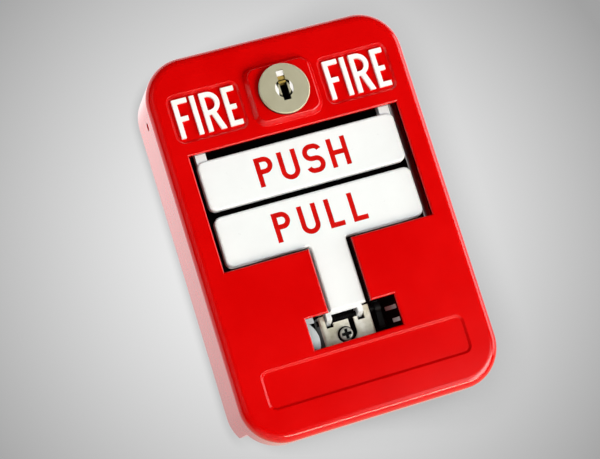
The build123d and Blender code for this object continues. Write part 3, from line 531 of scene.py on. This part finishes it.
def plane(name, size, place, facing):
    """A square that faces along the vector facing."""
    half = size / 2
    corners = [(-half, -half, 0), (half, -half, 0), (half, half, 0), (-half, half, 0)]
    mesh = bpy.data.meshes.new(name)
    mesh.from_pydata(corners, [], [(0, 1, 2, 3)])
    board = bpy.data.objects.new(name, mesh)
    board.location = place
    board.rotation_mode = "QUATERNION"
    board.rotation_quaternion = Vector(facing).to_track_quat("Z", "Y")
    bpy.context.scene.collection.objects.link(board)
    return board


def floor():
    """A pale floor: flat grey to the camera, and plain paint in the light."""
    board = plane("floor", FLOOR_SIZE, (0.0, 0.0, CAD_LOW.z - FLOOR_BELOW), (0, 0, 1))
    recipe = Recipe("floor_paint", (0.80, 0.80, 0.79), 0.7)
    recipe.colours(recipe.noise(3.0), (0.78, 0.78, 0.77), (0.82, 0.82, 0.81))
    nodes, links = recipe.nodes, recipe.links
    seen = nodes.new("ShaderNodeEmission")
    seen.inputs["Strength"].default_value = FLOOR_GREY
    path = nodes.new("ShaderNodeLightPath")
    either = mix_shaders(nodes, links, path.outputs["Is Camera Ray"], recipe.shader, seen)
    links.new(either.outputs[0], nodes["Material Output"].inputs["Surface"])
    board.data.materials.append(recipe.material)


def card_grey(nodes, links, position, x):
    """How bright the card looks: a painted pool of light that fades outward, with painted contact
    shade close to the object.
    """
    apart = nodes.new("ShaderNodeVectorMath")
    apart.operation = "DISTANCE"
    apart.inputs[1].default_value = (CARD_BRIGHT_AT[0], CAD_HIGH.y + CARD_BEHIND, CARD_BRIGHT_AT[1])
    links.new(position, apart.inputs[0])
    fade = spread(nodes, links, apart.outputs["Value"], (0.0, CARD_FADE_OVER), CARD_GREYS)
    # Painted contact shade: occlusion darkens the card near the object, reaching further on the
    # right
    nearby = nodes.new("ShaderNodeAmbientOcclusion")
    reach = spread(nodes, links, x, CARD_SHADE_ACROSS, CARD_SHADE_REACHES)
    links.new(reach, nearby.inputs["Distance"])
    shaded = nodes.new("ShaderNodeMath")
    shaded.operation = "MULTIPLY"
    links.new(fade, shaded.inputs[0])
    links.new(nearby.outputs["AO"], shaded.inputs[1])
    return shaded.outputs["Value"]


def card_glow(nodes, links, z):
    """The colour of the card's light on the object: dim and warm low down, white high up."""
    ramp = nodes.new("ShaderNodeValToRGB")
    stops = ramp.color_ramp.elements
    stops.new(CARD_GLOWS[1][0])
    for stop, (position, colour) in zip(stops, CARD_GLOWS):
        stop.position = position
        stop.color = (*colour, 1.0)
    links.new(spread(nodes, links, z, CARD_GLOW_HEIGHTS, (0.0, 1.0)), ramp.inputs["Fac"])
    return ramp.outputs["Color"]


def wall_card():
    """The pale card behind the object: a soft grey to the camera, a light to all else."""
    board = plane("wall_card", CARD_SIZE, (0.0, CAD_HIGH.y + CARD_BEHIND, 0.0), (0, -1, 0))
    material = bpy.data.materials.new("card_paint")
    material.use_nodes = True
    nodes, links = material.node_tree.nodes, material.node_tree.links
    nodes.remove(nodes["Principled BSDF"])
    geometry = nodes.new("ShaderNodeNewGeometry")
    position = geometry.outputs["Position"]
    axes = nodes.new("ShaderNodeSeparateXYZ")
    links.new(position, axes.inputs["Vector"])
    seen = nodes.new("ShaderNodeEmission")
    links.new(card_grey(nodes, links, position, axes.outputs["X"]), seen.inputs["Strength"])
    glow = nodes.new("ShaderNodeEmission")
    glow.inputs["Strength"].default_value = CARD_GLOW
    links.new(card_glow(nodes, links, axes.outputs["Z"]), glow.inputs["Color"])
    path = nodes.new("ShaderNodeLightPath")
    front = mix_shaders(nodes, links, path.outputs["Is Camera Ray"], glow, seen)
    clear = nodes.new("ShaderNodeBsdfTransparent")
    either = mix_shaders(nodes, links, geometry.outputs["Backfacing"], front, clear)
    links.new(either.outputs[0], nodes["Material Output"].inputs["Surface"])
    board.data.materials.append(material)


def softbox(name, place, aim, width, height, power, colour=WHITE):
    """A rectangular light that the camera itself doesn't see."""
    light = bpy.data.lights.new(name, "AREA")
    light.shape = "RECTANGLE"
    light.size = width
    light.size_y = height
    light.energy = power
    light.color = colour
    lamp = bpy.data.objects.new(name, light)
    lamp.location = place
    lamp.rotation_mode = "QUATERNION"
    lamp.rotation_quaternion = (Vector(aim) - Vector(place)).to_track_quat("-Z", "Y")
    lamp.visible_camera = False
    bpy.context.scene.collection.objects.link(lamp)
    return lamp


def lights():
    """Name, place, aim, width, height and power of each softbox, in metres and watts."""
    softbox("main", (1.0, -1.2, -0.75), (0, 0, 0), 0.9, 0.9, 18.0)
    fill = softbox("fill", (-1.15, -1.15, 0.45), (0, 0, 0), 1.3, 1.3, 14.0)
    fill.visible_glossy = False
    softbox("right", (1.1, -0.30, 0.05), (0, 0, 0), 0.5, 0.9, 5.5)
    softbox("below", (0.35, -0.75, -0.95), (0, 0, 0), 0.8, 0.14, 7.0, WARM)
    softbox("glare", (0.31, -0.60, -0.22), (0.03, -0.03, -0.04), 0.34, 0.34, 0.6)
    softbox("back", (0.5, 1.6, 0.8), (0, 0, 0), 1.4, 1.4, 14.0)


def sky():
    """Pale grey to the camera, and almost black as a light."""
    world = bpy.data.worlds.new("studio")
    bpy.context.scene.world = world
    world.use_nodes = True
    nodes, links = world.node_tree.nodes, world.node_tree.links
    seen = nodes["Background"]
    seen.inputs["Color"].default_value = (SKY_GREY, SKY_GREY, SKY_GREY, 1.0)
    lit = nodes.new("ShaderNodeBackground")
    lit.inputs["Color"].default_value = (DARK_SKY, DARK_SKY, DARK_SKY, 1.0)
    path = nodes.new("ShaderNodeLightPath")
    either = mix_shaders(nodes, links, path.outputs["Is Camera Ray"], lit, seen)
    links.new(either.outputs[0], nodes["World Output"].inputs["Surface"])


def camera():
    lens = bpy.data.cameras.new("camera")
    lens.sensor_width = SENSOR_WIDTH
    lens.lens = CAMERA_LENS
    lens.clip_start = 0.01
    lens.clip_end = 50.0
    eye = bpy.data.objects.new("camera", lens)
    eye.location = CAMERA_AT
    eye.rotation_mode = "QUATERNION"
    level = (CAMERA_AIM - CAMERA_AT).to_track_quat("-Z", "Y")
    roll = Matrix.Rotation(math.radians(-CAMERA_ROLL), 4, "Z").to_quaternion()
    eye.rotation_quaternion = level @ roll
    bpy.context.scene.collection.objects.link(eye)
    bpy.context.scene.camera = eye


bpy.context.scene.view_settings.view_transform = "Standard"
finishes = dress_nodes()
plug_glints(finishes)
springs(finishes)
floor()
wall_card()
lights()
sky()
camera()
